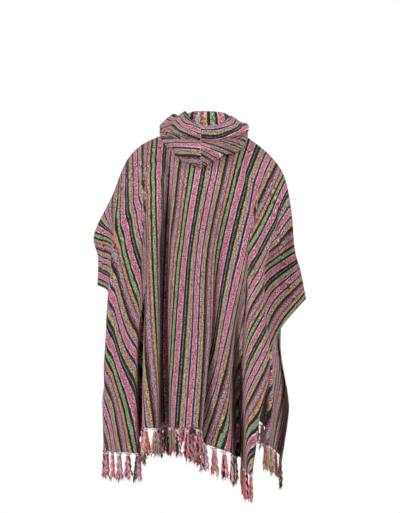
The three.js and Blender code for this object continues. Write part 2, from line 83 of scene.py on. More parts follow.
# The line over the shoulders and arms: cloth, across, out, height, in the frame of the back.
SHOULDER_LINE = [
    (-575, -333, -100, -474), (-500, -330, -96, -392), (-425, -342, -90, -318),
    (-335, -286, -80, -200), (-262, -243, -66, -98), (-200, -198, -50, -50),
    (-134, -134, -36, -20), (-66, -64, -17, 5), (66, 66, 17, 5), (119, 122, 28, -32),
    (190, 190, 38, -88), (255, 232, 40, -152), (320, 252, 42, -255), (391, 262, 42, -366),
    (460, 280, 35, -430), (535, 297, 20, -512),
]

# Where the cloth is drawn aslant over an arm its stripes run across the folds: the place of the
# stripes on these edges at the yoke, waist, hip and hem.
SLANTED_STRIPES = {
    "back": {
        "left ridge": (-318, -409, -487, -550),
        "right fold": (230, 401, 499, 568),
        "right ridge": (325, 487, 526, 588),
        "right tuck": (389, 514, 528, 590),
        "right edge": (528, 528, 532, 593),
    },
    "front": {
        "fourth fold edge": (290, 330, 400, 440),
        "right fold": (400, 455, 520, 570),
        "right edge": (500, 560, 620, 670),
    },
}

# A row for each edge of a fold. Its four sections are (cloth, across, out, height). next: how the
# cloth runs on to the next row, 0 straight, 1 bulging out, -1 in a valley. lean: in degrees.
BACK_FOLDS = [
    # name, yoke, waist, hip, hem, next, lean
    ("left edge", (-575, -292, -22, -500), (-575, -296, -112, -645),
     (-575, -295, -57, -806), (-575, -299, -6, -962), 0, 0),
    ("left tuck", (-415, -270, -15, -352), (-500, -272, -44, -600),
     (-540, -288, -25, -790), (-564, -303, 4, -963), 0, 0),
    ("left ridge", (-330, -275, 60, -327), (-417, -296, 32, -592),
     (-487, -306, 24, -790), (-550, -306, 20, -963), 1, 0),
    ("left fold", (-270, -238, 94, -276), (-345, -240, 84, -567),
     (-430, -252, 74, -785), (-490, -268, 72, -960), 1, 0),
    ("left fold edge", (-215, -190, 116, -250), (-290, -194, 112, -512),
     (-378, -202, 104, -748), (-413, -198, 100, -955), -1, 0),
    ("second fold", (-175, -172, 126, -165), (-180, -166, 134, -390),
     (-205, -180, 138, -640), (-230, -184, 130, -882), 1, 0),
    ("second fold edge", (-130, -131, 133, -146), (-138, -136, 144, -377),
     (-155, -139, 150, -636), (-180, -139, 144, -878), -1, 0),
    ("middle fold", (-60, -81, 138, -142), (-50, -99, 150, -376),
     (-25, -101, 158, -632), (-7, -100, 158, -874), 1, 0),
    ("middle fold edge", (95, 67, 136, -142), (105, 24, 152, -377),
     (97, 9, 160, -634), (95, -13, 160, -876), -1, 42),
    ("lapped fold", (130, 99, 128, -146), (135, 47, 148, -385),
     (145, 15, 140, -648), (215, -6, 136, -924), 1, 0),
    ("lapped fold edge", (190, 158, 98, -165), (203, 109, 134, -420),
     (232, 73, 142, -665), (290, 70, 138, -952), -1, 0),
    ("right fold", (245, 137, 120, -290), (391, 119, 152, -650),
     (466, 114, 160, -852), (500, 118, 158, -1005), 0, 0),
    ("right ridge", (290, 168, 116, -415), (474, 179, 138, -692),
     (522, 146, 154, -862), (525, 131, 155, -1006), 0, 0),
    ("right tuck", (385, 168, 34, -436), (506, 178, 106, -712),
     (529, 149, 150, -864), (530, 133, 150, -1006), 0, 0),
    ("right edge", (535, 221, 43, -600), (535, 170, 78, -714),
     (535, 151, 144, -866), (535, 133, 144, -1006), 0, 0),
]
FRONT_FOLDS = [
    # name, yoke, waist, hip, hem, next, lean
    ("left edge", (-575, -300, -170, -500), (-575, -272, -262, -630),
     (-575, -254, -292, -800), (-575, -240, -272, -965), 1, 0),
    ("first fold edge", (-440, -282, -165, -370), (-440, -225, -262, -560),
     (-440, -196, -296, -760), (-440, -176, -290, -925), -1, 0),
    ("second fold", (-300, -232, -172, -270), (-300, -190, -240, -520),
     (-300, -160, -275, -735), (-300, -146, -285, -905), 1, 0),
    ("second fold edge", (-210, -165, -172, -200), (-210, -125, -225, -475),
     (-210, -98, -268, -700), (-210, -72, -282, -880), -1, 0),
    ("middle fold", (-80, -78, -150, -150), (-80, -68, -205, -420),
     (-80, -58, -255, -665), (-80, -42, -275, -865), 1, 0),
    ("middle fold edge", (60, 62, -150, -150), (60, 52, -208, -420),
     (60, 48, -258, -665), (60, 60, -272, -862), -1, 0),
    ("fourth fold", (200, 160, -165, -205), (200, 92, -222, -480),
     (200, 80, -265, -705), (200, 84, -275, -895), 1, 0),
    ("fourth fold edge", (300, 212, -160, -290), (300, 150, -240, -540),
     (300, 140, -285, -760), (300, 130, -285, -955), -1, 0),
    ("right fold", (430, 218, -170, -405), (430, 160, -268, -590),
     (430, 158, -296, -800), (430, 146, -290, -1000), 1, 0),
    ("right edge", (535, 197, -229, -540), (535, 167, -304, -690),
     (535, 192, -310, -861), (535, 172, -284, -1050), 0, 0),
]

# ---------------------------------------------------------------- yarns and stripes

YARNS = {
    # name: sRGB colour of the dyed cotton
    "pink": "#C94F78",
    "pale": "#DAB9C0",
    "coral": "#D25470",
    "black": "#0A0C0D",
    "grey": "#5C6168",
    "bottle": "#0B1C13",
    "lime": "#A89E56",
    "rust": "#B3603A",
    "lavender": "#A996B6",
    "navy": "#1A2046",
    "crimson": "#991A42",
    "marl": "#848494",
    "gold": "#BE894A",
    "green": "#78995C",
}
# The stripes of one repeat, from the middle of the pink one to the wearer's right.
STRIPES = [
    # yarn, width in mm
    ("pink", 6), ("pale", 2), ("black", 6), ("grey", 3), ("bottle", 6), ("lime", 6), ("rust", 5),
    ("lavender", 3), ("navy", 5), ("pale", 2), ("coral", 10), ("pale", 2), ("navy", 5),
    ("lavender", 3), ("rust", 5), ("lime", 5), ("bottle", 7), ("crimson", 5), ("marl", 9),
    ("crimson", 5), ("gold", 7), ("black", 6), ("green", 9), ("black", 6), ("pale", 2),
    ("pink", 6),
]
REPEAT = sum(width for _, width in STRIPES)


def linear(code):
    """A hex sRGB colour as a linear (r, g, b)."""
    channels = (int(code[i:i + 2], 16) / 255 for i in (1, 3, 5))
    return tuple(c / 12.92 if c <= 0.04045 else ((c + 0.055) / 1.055) ** 2.4 for c in channels)


# ---------------------------------------------------------------- curves

def smooth(share):
    """A share from 0 to 1 that sets off and arrives softly."""
    share = np.clip(share, 0.0, 1.0)
    return share * share * (3 - 2 * share)


def mix(a, b, share):
    return a + (b - a) * share


def unit(vectors):
    return vectors / np.linalg.norm(vectors, axis=-1, keepdims=True)


def lengths_along(row):
    """How far each point of a row lies from its first, along the row."""
    return np.concatenate([[0], np.cumsum(np.linalg.norm(np.diff(row, axis=0), axis=1))])


def points_at(targets, lengths, row):
    """Points of a row at target lengths along it."""
    return np.stack([np.interp(targets, lengths, row[:, k]) for k in range(3)], -1)


def curve_through(places, values, at):
    """Rows of values on the smooth curve with Catmull-Rom slopes at uneven places."""
    places = np.asarray(places, float)
    values = np.asarray(values, float).reshape(len(places), -1)
    at = np.atleast_1d(np.asarray(at, float))
    last = len(places) - 1
    span = np.clip(np.searchsorted(places, at, side="left") - 1, 0, last - 1)
    index = np.arange(last + 1)
    before, after = np.maximum(index - 1, 0), np.minimum(index + 1, last)
    slopes = (values[after] - values[before]) / (places[after] - places[before])[:, None]
    width = (places[span + 1] - places[span])[:, None]
    t = (at - places[span])[:, None] / width
    t2, t3 = t * t, t ** 3
    return ((2 * t3 - 3 * t2 + 1) * values[span] + (t3 - 2 * t2 + t) * width * slopes[span]
            + (3 * t2 - 2 * t3) * values[span + 1] + (t3 - t2) * width * slopes[span + 1])


def to_garment(turn, section):
    """(..., across, out, height) in a frame turned about the neck, to the garment's own."""
    section = np.asarray(section, float)
    c, s = math.cos(math.radians(turn)), math.sin(math.radians(turn))
    across, out, height = section[..., 0], section[..., 1], section[..., 2]
    return np.stack([-across * c - out * s, -across * s + out * c, height], -1)


def to_section(turn, points):
    """The garment's own (x, y, z) to (across, out, height) in a turned frame."""
    c, s = math.cos(math.radians(turn)), math.sin(math.radians(turn))
    x, y, z = points[..., 0], points[..., 1], points[..., 2]
    return np.stack([-x * c - y * s, -x * s + y * c, z], -1)


def shoulder_points(cloth):
    """Where places on the cloth lie on the line over the shoulders and arms."""
    table = np.array(SHOULDER_LINE, float)
    return to_garment(BACK_TURN, curve_through(table[:, 0], table[:, 1:], cloth))


def neckline_height(facing, around):
    """The neckline drops from its two ends, at around 0, to the nape or the throat, at 1."""
    drop = np.where(np.asarray(facing) > 0, NAPE_DROP, THROAT_DROP)
    return NECK_HEIGHT - drop * around


def start_points(cloth, facing, turn):
    """Where lines of the cloth start: on the shoulder line, or on the neckline."""
    cloth = np.atleast_1d(np.asarray(cloth, float))
    points = shoulder_points(cloth)
    half = -shoulder_points(NECK_EDGE)[0, 0]
    inside = np.abs(cloth) < NECK_EDGE
    x = -half * np.sin(0.5 * math.pi * cloth[inside] / NECK_EDGE)
    around = np.sqrt(np.clip(1 - (x / half) ** 2, 0, 1))
    points[inside] = np.stack(
        [x, facing * NECK_RADIUS * around, neckline_height(facing, around)], -1)
    return to_section(turn, points)


# ---------------------------------------------------------------- sheets of cloth

def start_bow(fold, after, place, facing, turn):
    """How far a line of the cloth between two folds starts from the straight line between their
    starts, because the neckline is round."""
    left, right = (yoke[0] for _, yoke, *_ in (fold, after))
    start, *ends = start_points([mix(left, right, place), left, right], facing, turn)
    return start - mix(*ends, place)


def section_knots(folds, facing, turn, share):
    """The folds' edges, valley bottoms and bulges at one share of the way down, as rows of
    (cloth, across, out, height, stripe)."""
    edges = []
    for name, yoke, waist, hip, hem, *_ in folds:
        start = start_points(yoke[0], facing, turn)[0]
        stations = [(yoke[0], *start), yoke, waist, hip, hem]
        stripes = [station[0] for station in stations]
        stripes[1:] = SLANTED_STRIPES["back" if facing > 0 else "front"].get(name, stripes[1:])
        stations = [(*station, stripe) for station, stripe in zip(stations, stripes)]
        edges.append(curve_through((0.0, YOKE, WAIST, HIP, HEM), stations, share)[0])
    knots = []
    for index, fold in enumerate(folds):
        *_, run_on, lean_deg = fold
        edge = edges[index]
        knots.append(edge)
        if run_on == 0 or index == len(folds) - 1:
            continue
        after = edges[index + 1]
        floor = VALLEY_FLOOR / 2 if run_on < 0 else 0.0
        run = max(0.0, (after[0] - edge[0]) / 2 - floor)
        chord = np.linalg.norm(after[1:4] - edge[1:4]) / 2 - floor
        depth = math.sqrt(max(0.0, run * run - chord * chord)) * (BULGE if run_on > 0 else 1)
        grown = depth * smooth(share / YOKE)
        lean = math.radians(lean_deg) * smooth((share - LEAN_START) / LEAN_RUN)
        spread = floor * smooth(grown / FLOOR_DEPTH)
        for side in (-1, 1) if floor else (0,):
            place = 0.5 + side * floor / (after[0] - edge[0])
            knot = mix(edge, after, place)
            bow = start_bow(fold, folds[index + 1], place, facing, turn)
            knot[1:4] += bow * (1 - smooth(share / ROUND_UNTIL))
            knot[1] += side * spread * math.cos(lean) - grown * math.sin(lean)
            knot[2] += facing * run_on * (grown * math.cos(lean) + side * spread * math.sin(lean))
            knots.append(knot)
    return np.array(knots)


def sheet_grid(folds, facing, turn, columns, rows):
    """A panel's middle surface as (rows, columns, 3), and each point's place in the stripes."""
    hem = section_knots(folds, facing, turn, HEM)
    middle = section_knots(folds, facing, turn, WAIST)
    runs = np.maximum(np.diff(hem[:, 0]), np.diff(middle[:, 0]))
    lengths = np.concatenate([[0], np.cumsum(runs)])
    along = np.interp(np.linspace(0, lengths[-1], columns), lengths, np.arange(len(lengths)))
    even = np.linspace(CLOTH_LEFT, CLOTH_RIGHT, columns)
    points, stripes = [], []
    for share in np.linspace(0, 1, rows):
        knots = section_knots(folds, facing, turn, share)
        places = np.arange(len(knots))
        settled = smooth(share / EVEN_UNTIL)
        wanted = mix(even, curve_through(places, knots[:, 0], along)[:, 0], settled)
        dense = np.linspace(0, len(knots) - 1, CURVE_STEPS * len(knots))
        dense_cloth = np.maximum.accumulate(curve_through(places, knots[:, 0], dense)[:, 0])
        at = np.interp(wanted, dense_cloth, dense) if settled < 1 else along
        row = curve_through(places, knots[:, 1:4], at)
        if settled < 1:
            row = mix(start_points(wanted, facing, turn), row, smooth(share / START_UNTIL))
        points.append(to_garment(turn, row))
        stripes.append(curve_through(places, knots[:, 4], at)[:, 0])
    return np.array(points), np.array(stripes)


def grid_normals(points, facing):
    """Unit normals of a grid of points, outwards on a sheet with this facing."""
    return unit(np.cross(np.gradient(points, axis=1), np.gradient(points, axis=0)) * -facing)


# How a crease is formed. Its ends run over and fade out on shares of its length, and it bows by
# another. The ridge beside the trough is a share of its depth and stands so many widths away.
PANEL_CREASE = {"overrun": 0.15, "fade": 0.4, "bow": 0.06, "ridge": 0.55, "beside": 1.7}
HOOD_CREASE_FORM = {"overrun": 0.1, "fade": 0.3, "bow": 0.0, "ridge": 0.6, "beside": 1.8}
CREASES_FULL = 60.0                       # creases grow to full depth on this way down
RIPPLES, RIPPLE_HEIGHT = 14, 0.22         # the unevenness of the hand-woven cloth
RIPPLE_ACROSS, RIPPLE_DOWN = (0.03, 0.09), (-0.018, 0.018)    # radians for each mm
HEM_WAVES, HEM_WAVE_HEIGHT = 4, 0.8       # the waver of the hem, on the last share of the way
HEM_WAVE_ACROSS, HEM_SHARE = (0.02, 0.05), 0.2
ANY_PHASE = (0, 6.3)
SHOULDER_PLACE = 8.0                      # the weave's place down the cloth at the shoulder line

# Creases between the large folds, as soft troughs with a ridge beside them.
CREASES = {
    "back": [
        # from (cloth, down), to (cloth, down), depth, width, all in mm
        ((-120, 130), (-300, 250), 5.0, 14.0),
        ((-95, 190), (-270, 360), 4.0, 16.0),
        ((-60, 260), (-150, 520), 3.0, 15.0),
        ((-350, 150), (-450, 190), 6.0, 12.0),
        ((-340, 215), (-470, 260), 5.0, 11.0),
        ((-330, 280), (-480, 330), 4.5, 12.0),
        ((-400, 90), (-520, 120), 5.0, 12.0),
        ((-455, 60), (-560, 75), 4.0, 10.0),
        ((110, 120), (215, 240), 4.0, 14.0),
        ((150, 160), (235, 330), 5.0, 15.0),
        ((270, 120), (330, 300), 5.0, 13.0),
        ((300, 60), (400, 190), 6.0, 13.0),
        ((345, 40), (450, 130), 5.0, 12.0),
        ((420, 60), (510, 160), 5.0, 12.0),
        ((40, 420), (70, 700), 2.5, 16.0),
        ((-20, 500), (10, 820), 2.5, 14.0),
        ((-470, 560), (-455, 800), 3.0, 15.0),
        ((330, 480), (420, 640), 4.0, 16.0),
        ((250, 620), (330, 820), 3.5, 14.0),
        ((-250, 480), (-300, 700), 3.5, 14.0),
        ((160, 640), (235, 850), 3.0, 13.0),
        ((455, 700), (490, 860), 3.5, 12.0),
        ((262, 280), (320, 520), 8.0, 20.0),
        ((-40, 240), (-12, 430), 3.5, 18.0),
        ((60, 180), (30, 420), 3.5, 16.0),
    ],
    "front": [
        ((-130, 120), (-320, 250), 5.0, 15.0),
        ((-100, 200), (-260, 380), 4.0, 16.0),
        ((140, 130), (300, 260), 5.0, 15.0),
        ((110, 210), (240, 400), 4.0, 15.0),
        ((-400, 90), (-520, 140), 5.0, 12.0),
        ((-350, 180), (-480, 250), 5.0, 12.0),
        ((330, 90), (460, 150), 5.0, 12.0),
        ((350, 190), (500, 270), 5.0, 13.0),
        ((-30, 300), (-20, 620), 3.0, 16.0),
        ((30, 520), (20, 830), 2.5, 15.0),
        ((-380, 520), (-370, 800), 3.0, 15.0),
        ((360, 540), (380, 820), 3.5, 15.0),
        ((480, 420), (500, 700), 3.5, 14.0),
        ((-520, 430), (-500, 680), 3.5, 14.0),
    ],
}


def crease_lift(across, down, crease, form):
    """How far one crease moves each point of the cloth along its normal."""
    start, end, depth, width = crease
    run = np.subtract(end, start)
    length = np.linalg.norm(run)
    run = run / length
    t = ((across - start[0]) * run[0] + (down - start[1]) * run[1]) / length
    away = (down - start[1]) * run[0] - (across - start[0]) * run[1]
    away = away - form["bow"] * length * np.sin(math.pi * np.clip(t, 0, 1))
    ends = smooth((t + form["overrun"]) / form["fade"])
    ends = ends * smooth((1 + form["overrun"] - t) / form["fade"])
    ridge = form["ridge"] * np.exp(-((away - form["beside"] * width) / width) ** 2)
    return depth * ends * (ridge - np.exp(-(away / width) ** 2))


def creased(cloth, down, creases, seed):
    """How far each point of a panel moves along its normal, in mm."""
    lift = sum(crease_lift(cloth, down, crease, PANEL_CREASE) for crease in creases)
    draw = random.Random(seed)
    for _ in range(RIPPLES):
        across, along = draw.uniform(*RIPPLE_ACROSS), draw.uniform(*RIPPLE_DOWN)
        lift += RIPPLE_HEIGHT * np.sin(across * cloth + along * down + draw.uniform(*ANY_PHASE))
    return lift * smooth(down / CREASES_FULL)


def soft_waves(cloth, down, seed):
    """A slow waver of the hem, in mm."""
    draw = random.Random(seed)
    wave = sum(np.sin(draw.uniform(*HEM_WAVE_ACROSS) * cloth + draw.uniform(*ANY_PHASE))
               for _ in range(HEM_WAVES))
    above_hem = (CLOTH_LENGTH - down) / CLOTH_LENGTH
    return HEM_WAVE_HEIGHT * wave * smooth(1 - above_hem / HEM_SHARE)


def placed(name, data):
    """A new object of a mesh, a light or a camera, in the scene."""
    obj = bpy.data.objects.new(name, data)
    bpy.context.collection.objects.link(obj)
    return obj


def wall_mesh(name, points, normals, thickness, place, materials):
    """A closed wall round a grid of points, with the place on the cloth as its UV map. Faces on
    the far side take the second material."""
    rows, columns = points.shape[:2]
    half = normals * thickness / 2
    verts = np.concatenate([(points + half).reshape(-1, 3), (points - half).reshape(-1, 3)]) * MM
    index = np.arange(rows * columns).reshape(rows, columns)
    under = index + rows * columns

    def quads(a, b, c, d):
        return np.stack([a, b, c, d], -1).reshape(-1, 4)

    top = quads(index[:-1, :-1], index[:-1, 1:], index[1:, 1:], index[1:, :-1])
    low = quads(under[:-1, :-1], under[1:, :-1], under[1:, 1:], under[:-1, 1:])
    rims = [
        quads(index[0, 1:], index[0, :-1], under[0, :-1], under[0, 1:]),
        quads(index[-1, :-1], index[-1, 1:], under[-1, 1:], under[-1, :-1]),
        quads(index[:-1, 0], index[1:, 0], under[1:, 0], under[:-1, 0]),
        quads(index[1:, -1], index[:-1, -1], under[:-1, -1], under[1:, -1]),
    ]
    faces = np.concatenate([top, low, *rims])
    a, b, c = verts[faces[0][0]], verts[faces[0][1]], verts[faces[0][2]]
    if np.dot(np.cross(b - a, c - a), normals[0, 0]) < 0:
        faces = faces[:, ::-1]
    mesh = bpy.data.meshes.new(name)
    mesh.from_pydata(verts.tolist(), [], faces.tolist())
    which = np.zeros(len(faces), dtype=np.int32)
    which[len(top):len(top) + len(low)] = 1
    for material in materials:
        mesh.materials.append(material)
    mesh.polygons.foreach_set("material_index", which)
    flat_place = np.concatenate([place.reshape(-1, 2)] * 2) * MM
    mesh.uv_layers.new(name="cloth").data.foreach_set("uv", flat_place[faces.ravel()].ravel())
    mesh.shade_smooth()
    return placed(name, mesh)


def panel_shape(folds, facing, turn, columns, rows, creases, seed):
    """A panel with its creases: points, normals and the place of each point on the cloth."""
    points, cloth = sheet_grid(folds, facing, turn, columns, rows)
    down = np.linspace(0, CLOTH_LENGTH, rows)[:, None] * np.ones(columns)
    normals = grid_normals(points, facing)
    lift = creased(cloth, down, creases, seed) + soft_waves(cloth, down, seed + 1)
    points = points + normals * lift[..., None]
    normals = grid_normals(points, facing)
    normals[0] = unit(np.cross((0.0, 1.0, 0.0), np.gradient(points[0], axis=0)))
    points[0, :, 1] += facing * SEAM_GAP / 2
    return points, normals, np.stack([cloth, facing * (down + SHOULDER_PLACE)], -1)


# ---------------------------------------------------------------- hood

HOOD_SLICES, HOOD_STEPS = 100, 150  # round the neck, and along a profile
HOOD_FRONT, NAPE = 10.0, 180.0    # degrees round the neck from the middle of the throat
HOOD_TURN = 10.0                  # the hood hangs turned a little to the wearer's right
SEAM_ACROSS = -15.0               # place of the seam between its halves, in the back's frame
NECK_SEAM_IN, NECK_SEAM_DROP = 4.0, 1.0   # how far in from and below the neckline it is sewn on
NECK_SEAM_RADIUS = NECK_RADIUS - NECK_SEAM_IN
NECK_RISE = 0.55                  # share of the way up to the crest of a profile's second point
LIP_IN, LIP_DOWN = 6.0, 5.0       # the edge of the face opening is turned in by this
WEAVE_RADIUS = 140.0              # mean radius of the hood, for the weave's place round it
# The hood's profiles as it lies when it is down, with radii and heights in mm.
HOOD_SECTIONS = {
    "left": [
        # degrees, crest radius, crest, outer radius, bottom, crease, edge radius, edge
        (10, 84, 26, 120, -8, 8, 92, 20),
        (45, 86, 31, 126, -12, 4, 96, 28),
        (75, 88, 30, 125, -2, 11, 99, 36),
        (100, 86, 28, 128, -4, 10, 100, 39),
        (113, 84, 26, 141, -24, -4, 100, 37),
        (126, 82, 24, 150, -54, -24, 97, 29),
        (140, 80, 32, 153, -80, -36, 92, 40),
        (160, 79, 39, 170, -110, -47, 120, 14),
        (180, 78, 39, 188, -130, -54, 150, -13),
    ],
    "right": [
        (10, 84, 22, 120, -10, 6, 92, 16),
        (50, 84, 22, 125, -18, 0, 94, 14),
        (80, 82, 20, 127, -16, -3, 94, 12),
        (100, 80, 24, 130, -18, -3, 94, 18),
        (118, 78, 30, 146, -60, -28, 95, 28),
        (134, 78, 36, 154, -84, -42, 108, 14),
        (150, 78, 38, 162, -90, -45, 124, 2),
        (166, 78, 39, 174, -110, -54, 142, -9),
        (180, 78, 39, 188, -130, -54, 150, -13),
    ],
}
# Points of a profile. width: share of the way from the crest out to the hood's outer side.
HOOD_PROFILE = [
    # width, rise, from: a share of the height above the bottom, or above the crease
    (0.00, 1.00, "bottom"),
    (0.20, 0.93, "bottom"),
    (0.34, 0.60, "bottom"),
    (0.50, 0.22, "bottom"),
    (0.66, 0.02, "bottom"),
    (0.84, 0.02, "bottom"),
    (0.97, 0.20, "bottom"),
    (1.00, -0.14, "crease"),
    (0.86, -0.01, "crease"),
    (0.99, 0.09, "crease"),
    (0.93, 0.22, "crease"),
]
# Points of a whole profile, which has two more at each end: the last inside, and the crease.
POUCH_POINT, CREASE_POINT = 4, 10

# Places in the stripes on the hood, in mm.
NECK_PLACE = 100.0                # at the nape, round the neck
LEFT_ROLL, RIGHT_ROLL = 13.0, 60.0        # at the edge of the face opening
RIGHT_ROLL_GAIN = (110, 180, 10.0)        # from and to these degrees, by so much
ROLL_ALONG, ROLL_DOWN = 0.55, 0.65        # for each mm in from that edge, and below it
LOWER_PLACE = 48.5                        # at the seam under the crease, at these heights
LEFT_LEVEL, RIGHT_LEVEL = -69.0, -76.0
LEFT_ABOVE, LEFT_BELOW, LEFT_SLOPE = 1.5, 0.92, 0.12      # for each mm up, down and across
RIGHT_PACE = 1.7                          # for each mm up
RIGHT_SLOPE, RIGHT_STEEPER = 0.27, 0.3    # mm down for each mm across, and more low on the hood
STEEPER_FROM, STEEPER_RUN = -66.0, 24.0


def hood_stripes(side, points, from_edge, degrees):
    """The stripes' places on one profile of the hood: on its roll they follow the edge of the face
    opening, below the crease they lie nearly level on the left half and slope down to the right on
    the right half, and round the neck they stand up from the seam."""
    across = to_section(BACK_TURN, points)[:, 0] - SEAM_ACROSS
    height = points[:, 2]
    in_from_edge = ROLL_ALONG * from_edge + ROLL_DOWN * (height[-1] - height)
    if side > 0:
        roll = LEFT_ROLL + in_from_edge
        below = LEFT_LEVEL - height
        pace = np.where(below < 0, LEFT_ABOVE, LEFT_BELOW)
        lower = LOWER_PLACE + pace * below - LEFT_SLOPE * across
    else:
        first, last, gain = RIGHT_ROLL_GAIN
        roll = RIGHT_ROLL + gain * smooth((degrees - first) / (last - first)) - in_from_edge
        level = height + RIGHT_STEEPER * across
        for _ in range(3):
            steeper = RIGHT_STEEPER * smooth((STEEPER_FROM - level) / STEEPER_RUN)
            level = height + (RIGHT_SLOPE + steeper) * across
        lower = LOWER_PLACE + RIGHT_PACE * (level - RIGHT_LEVEL)
    round_neck = NECK_PLACE - side * NECK_SEAM_RADIUS * (math.pi - math.radians(degrees))
    return roll, lower, round_neck


def hood_rows(side):
    """Half of the hood's middle surface and its stripes' places."""
    table = np.array(HOOD_SECTIONS["left" if side > 0 else "right"], float)
    rows, place = [], []
    shares = np.linspace(0, 1, HOOD_STEPS)
    ends = np.linspace(0, 1, len(HOOD_PROFILE) + 4)
    for degrees in np.linspace(HOOD_FRONT, NAPE, HOOD_SLICES):
        crest_r, crest, outer, bottom, crease, edge_r, edge = curve_through(
            table[:, 0], table[:, 1:], degrees)[0]
        turned = math.radians(degrees + side * HOOD_TURN * smooth(degrees / NAPE))
        base = {"bottom": bottom, "crease": crease}
        seam = neckline_height(-math.cos(turned), abs(math.cos(turned))) - NECK_SEAM_DROP
        profile = [(NECK_SEAM_RADIUS, seam), (NECK_RADIUS, mix(seam, crest, NECK_RISE))]
        profile += [(mix(crest_r, outer, width), base[start] + rise * (crest - bottom))
                    for width, rise, start in HOOD_PROFILE]
        profile += [(edge_r, edge), (edge_r - LIP_IN, edge - LIP_DOWN)]
        shape = curve_through(ends, profile, shares)
        radius, z = shape[:, 0], shape[:, 1]
        points = np.stack([side * radius * math.sin(turned), -radius * math.cos(turned), z], -1)
        rows.append(points)
        from_seam = lengths_along(shape)
        roll, lower, round_neck = hood_stripes(side, points, from_seam[-1] - from_seam, degrees)
        inner = shares < ends[POUCH_POINT]
        outside = np.where(shares > ends[CREASE_POINT], roll, lower)
        round_hood = WEAVE_RADIUS * math.radians(degrees)
        place.append(np.stack([np.where(inner, round_neck, outside),
                               np.where(inner, from_seam, round_hood)], -1))
    return np.array(rows), np.array(place)


def close_hood_seam(points, normals, side):
    """Moves the last profile, at the nape, to its side of the seam between the halves."""
    turn = math.radians(HOOD_TURN)
    along = np.array([math.cos(turn), math.sin(turn), 0.0])
    points[-1] += along * side * SEAM_GAP / 2
    normals[-1] -= np.outer(normals[-1] @ along, along)
    normals[-1] = unit(normals[-1])


HOOD_CREASES = [
    # from (degrees, share of the profile), to (degrees, share), depth and width in mm
    ((128, 0.98), (180, 0.80), 3.2, 8.0),
    ((104, 0.88), (168, 0.72), 3.0, 7.0),
    ((118, 0.55), (172, 0.50), 2.6, 9.0),
    ((70, 0.90), (120, 0.84), 2.2, 6.0),
    ((40, 0.72), (90, 0.90), 2.0, 7.0),
]
CREASE_SCALE = np.array([2.0, 420.0])     # mm for each degree, and for a whole profile
SMOOTH_AT_NAPE, SMOOTH_INSIDE = 12.0, 0.3 # degrees and share on which they fade out


def hood_shape(side):
    """Half of the hood with its creases: points, normals and the stripes' places."""
    points, place = hood_rows(side)
    normals = grid_normals(points, side)
    around, along = np.meshgrid(np.linspace(HOOD_FRONT, NAPE, HOOD_SLICES),
                                np.linspace(0, 1, HOOD_STEPS), indexing="ij")
    lift = sum(crease_lift(around * CREASE_SCALE[0], along * CREASE_SCALE[1],
                           (start * CREASE_SCALE, end * CREASE_SCALE, depth, width),
                           HOOD_CREASE_FORM)
               for start, end, depth, width in HOOD_CREASES)
    lift *= smooth((NAPE - around) / SMOOTH_AT_NAPE) * smooth(along / SMOOTH_INSIDE)
    points = points + normals * side * lift[..., None]
    normals = grid_normals(points, side)
    close_hood_seam(points, normals, side)
    return points, normals, place


# ---------------------------------------------------------------- fringe and stitches

LOOK_AHEAD = 3.0                  # mm to the point that gives a hem's direction
# Places in the repeat whose yarns bind the tassels, and which show often among their tails.
WRAP_PLACES = (7.0, 43.0, 55.0, 129.0)
TAIL_PLACES = (2.0, 48.0, 49.0, 43.0, 55.0, 35.5, 66.0, 103.5, 117.5, 133.0)
YARN_PLACES = (0, 90)             # where along the weave a yarn takes its flecks from
DOWN = np.array([0.0, 0.0, -1.0])
KNOT_DROP = 7.0                   # from the hem to the knot
STRANDS, STRAND_SPREAD = 6, 0.42  # yarns that run into a knot, from this share of the pitch
STRAND_COLOURS = 12               # how far aside on the cloth they take their colours
STRAND_START, STRAND_SAG, STRAND_GATHER = 0.5, 0.8, 0.5
STRAND_RADII = (0.9, 1.1, 1.3)
WRAP_TURNS, WRAP_STEPS, WRAP_RISE, WRAP_YARN = 3, 28, 1.7, 1.25
WRAP_ABOVE, WRAP_FLAT = 2.5, 0.85
TAIL_COUNTS, TAIL_STEPS = (7, 8, 8, 9), 13
TAIL_LENGTHS = (0.8, 1.0)         # shares of the tassel's length
# how far the outermost tails spread along the hem, and how far tails stray along it, out and bent
TAIL_FAN, TAIL_SWAY, TAIL_OUT, TAIL_BEND = (11.0, 15.0), 3, 4.5, 2.2
TAIL_START, TAIL_GATHER = 2.0, 0.55       # mm below the knot's top, share of its radius
TAIL_COLOURS = 15
PLY_RADIUS, PLY_APART = 2.3, 1.8  # of the two plies of a tail, half the distance between them
PLY_TWIST = (5, 8)                # half turns
LOOSE_END = 0.18                  # share of a tail on which its plies open,
OPEN_BY, THINNER_BY = 0.7, 0.25   # part and grow thin
FRAYS, FRAY_RADII = 2, (0.6, 0.45, 0.25)
FRAY_LENGTHS, FRAY_ASIDE, FRAY_OUT = (3, 7), 3, 2
STITCH_ARCH = np.array([[0.2], [1.0], [0.2]])     # rise of a stitch, in radii of its thread
STITCH_SLANT = 0.6


def within(draw, reach):
    """A random distance to either side."""
    return draw.uniform(-reach, reach)


